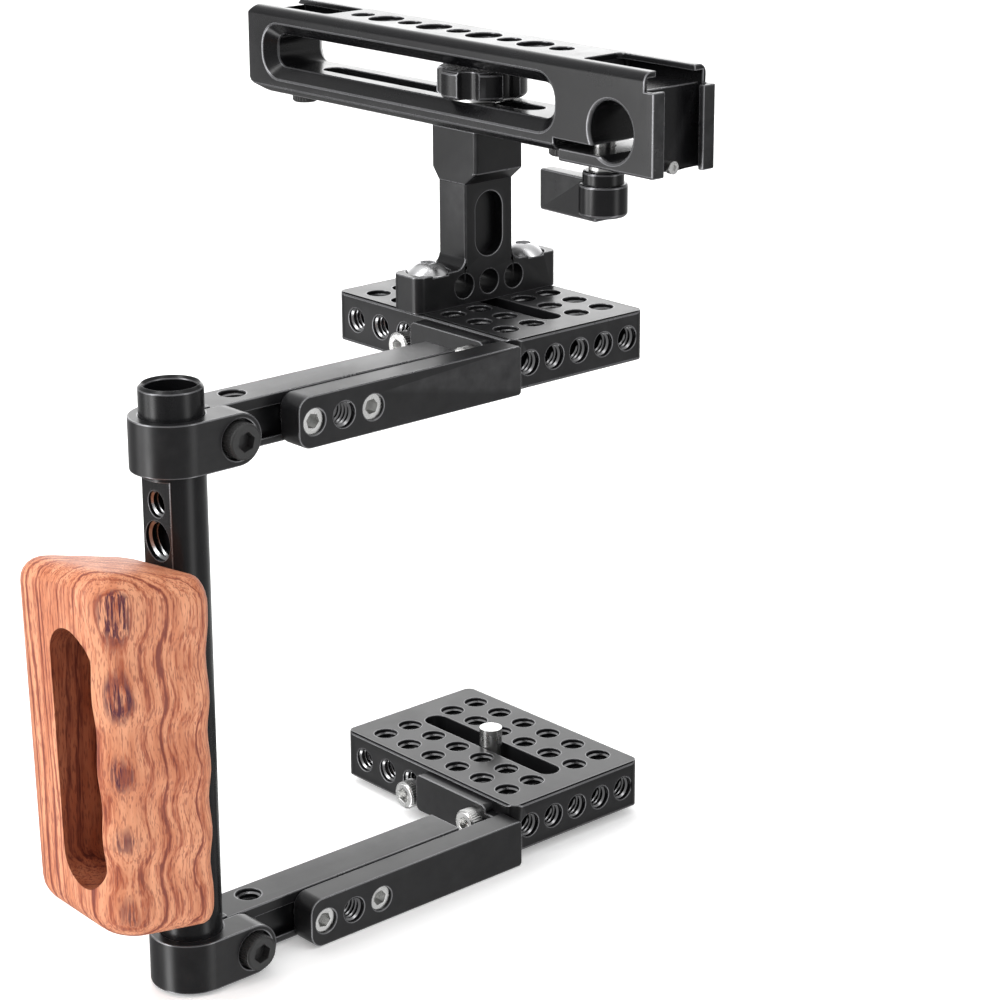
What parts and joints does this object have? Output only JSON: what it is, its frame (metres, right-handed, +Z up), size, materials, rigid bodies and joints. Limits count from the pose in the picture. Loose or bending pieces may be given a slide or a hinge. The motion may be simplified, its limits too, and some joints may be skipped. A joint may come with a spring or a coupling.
{
  "type": "adjustable camera cage with wooden side grip and top handle",
  "caption": "Adjustable camera cage: slotted hole plates on split-collar arms around a side rod, with a wooden side grip and a sliding top handle with a rod clamp.",
  "frame": {"origin": "centre of the lower end of the side rod", "axes": "+Z up along the side rod, -Y towards the lens, +X from the side rod towards the plates"},
  "size_m": [0.1831, 0.1573, 0.21],
  "materials": {
    "black_anodised": "satin black anodised",
    "black_oxide": "black oxide",
    "bright_steel": "bright plated",
    "padauk": "satin oiled"
  },
  "bodies": {
    "base": {"lower_plate": "black_anodised", "lower_rail": "black_anodised", "lower_rail_screws": "bright_steel", "lower_side_screws": "bright_steel"},
    "camera_screw": {"camera_screw": "bright_steel"},
    "lower_arm": {"lower_arm": "black_anodised", "lower_clamp_bolt": "black_oxide", "lower_clamp_washer": "black_oxide"},
    "column": {"side_rod": "black_anodised", "wood_grip": "padauk", "grip_screws": "black_oxide"},
    "upper_arm": {"upper_arm": "black_anodised", "upper_clamp_bolt": "black_oxide", "upper_clamp_washer": "black_oxide"},
    "top": {"upper_plate": "black_anodised", "upper_rail": "black_anodised", "upper_rail_screws": "bright_steel", "upper_side_screws": "bright_steel", "stem": "black_anodised", "stem_screws": "bright_steel", "handle_stud": "bright_steel"},
    "handle": {"top_handle": "black_anodised", "handle_stop_screws": "black_oxide", "shoe_stop_screw": "bright_steel"},
    "slot_nut": {"slot_nut": "black_anodised", "slot_washer": "bright_steel"},
    "clamp_lever": {"clamp_lever": "black_anodised", "clamp_bolt": "bright_steel", "clamp_bush": "bright_steel"}
  },
  "joints": [
    {"name": "lower_arm_slide", "type": "slide", "parent": "base", "child": "lower_arm", "axis": [1, 0, 0], "range_m": [-0.025, 0.007]},
    {"name": "grip_swing", "type": "hinge", "parent": "lower_arm", "child": "column", "pos_m": [0, 0, 0], "axis": [0, 0, 1], "range_deg": [-90, 90]},
    {"name": "upper_arm_height", "type": "slide", "parent": "lower_arm", "child": "upper_arm", "axis": [0, 0, 1], "range_m": [-0.009, 0.007]},
    {"name": "upper_plate_slide", "type": "slide", "parent": "upper_arm", "child": "top", "axis": [1, 0, 0], "range_m": [-0.007, 0.025]},
    {"name": "handle_slide", "type": "slide", "parent": "top", "child": "handle", "axis": [0, 1, 0], "range_m": [-0.055, 0.015]},
    {"name": "slot_nut_turn", "type": "hinge", "parent": "top", "child": "slot_nut", "pos_m": [0.1221, 0.0317, 0.1958], "axis": [0, 0, 1], "continuous": true},
    {"name": "clamp_lever_turn", "type": "hinge", "parent": "handle", "child": "clamp_lever", "pos_m": [0.1221, -0.0131, 0.1759], "axis": [0, 0, 1], "continuous": true},
    {"name": "camera_screw_slide", "type": "slide", "parent": "base", "child": "camera_screw", "axis": [0, 1, 0], "range_m": [-0.02, 0.02]}
  ]
}
